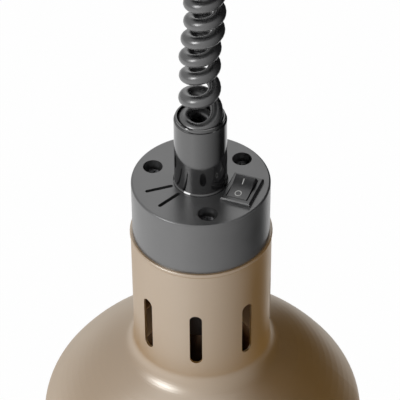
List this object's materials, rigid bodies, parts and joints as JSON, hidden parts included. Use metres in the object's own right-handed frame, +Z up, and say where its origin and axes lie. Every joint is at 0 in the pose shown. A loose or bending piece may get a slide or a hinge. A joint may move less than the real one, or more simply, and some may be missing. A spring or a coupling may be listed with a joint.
{
  "type": "hanging heat lamp",
  "caption": "Heat lamp with a spun shade and slotted neck that hangs from a ceiling cover on a curly cord, with a rocker switch on its cap.",
  "frame": {"origin": "middle of the ceiling plate's upper face, which lies against the ceiling", "axes": "+Z up out of the ceiling plate; the lamp hangs along -Z; +X to the right of the picture; its camera looks along +Y and down"},
  "size_m": [0.1704, 0.1704, 0.4289],
  "materials": {
    "plate_steel": "zinc-plated sheet",
    "screw_steel": "zinc-plated",
    "cover_plastic": "satin moulded",
    "block_plastic": "moulded",
    "brass": "bright",
    "black_plastic": "glossy",
    "gland_plastic": "moulded",
    "seal_rubber": "soft",
    "cord_skin": "glossy smooth skin",
    "lead_skin": "wire insulation",
    "cap_plastic": "satin moulded, neutral grey",
    "switch_plastic": "glossy",
    "shade_metal": "satin champagne",
    "holder_plastic": "dark heat-proof moulding",
    "ruby_glass": "ruby red",
    "bulb_metal": "screw cap",
    "filament_metal": "clear stem and wire"
  },
  "bodies": {
    "ceiling_fitting": {"ceiling_plate": "plate_steel", "ceiling_cover": "cover_plastic", "cover_screws": "screw_steel", "terminal_block": "block_plastic", "terminal_screws": "brass", "gland_body": "gland_plastic", "gland_locknut": "gland_plastic", "gland_nut": "gland_plastic", "gland_seal": "seal_rubber", "cord_tail": "cord_skin", "ceiling_leads": "lead_skin"},
    "hanging_cord": {"curly_cord": "cord_skin"},
    "lamp_head": {"cord_sleeve": "black_plastic", "sleeve_nut": "gland_plastic", "clamp_halves": "block_plastic", "clamp_screws": "screw_steel", "cap": "cap_plastic", "cap_screws": "screw_steel", "cap_nuts": "screw_steel", "switch_case": "switch_plastic", "switch_tabs": "brass", "shade": "shade_metal", "carrier_plate": "plate_steel", "lamp_holder": "holder_plastic", "holder_screws": "screw_steel", "holder_terminals": "brass", "screw_shell": "brass", "centre_contact": "brass", "earth_tag": "brass", "earth_screw": "screw_steel", "inner_leads": "lead_skin"},
    "rocker": {"rocker": "switch_plastic"},
    "bulb": {"bulb_glass": "ruby_glass", "bulb_cap": "bulb_metal", "bulb_tip": "black_plastic", "bulb_filament": "filament_metal"}
  },
  "joints": [
    {"name": "cord_swing", "type": "hinge", "parent": "ceiling_fitting", "child": "hanging_cord", "pos_m": [0, 0, -0.044], "axis": [1, 0, 0], "range_deg": [-20, 20]},
    {"name": "head_height", "type": "slide", "parent": "hanging_cord", "child": "lamp_head", "axis": [0, 0, -1], "range_m": [-0.025, 0.16], "stiffness_N_per_m": 100, "springref_m": -0.0654, "deforming": ["curly_cord"]},
    {"name": "switch_press", "type": "hinge", "parent": "lamp_head", "child": "rocker", "pos_m": [0.01987, -0.00897, -0.1831], "axis": [-0.9317, 0.3633, 0], "range_deg": [0, 30]},
    {"name": "bulb_out", "type": "slide", "parent": "lamp_head", "child": "bulb", "axis": [0, 0, -1], "range_m": [0, 0.2]}
  ]
}
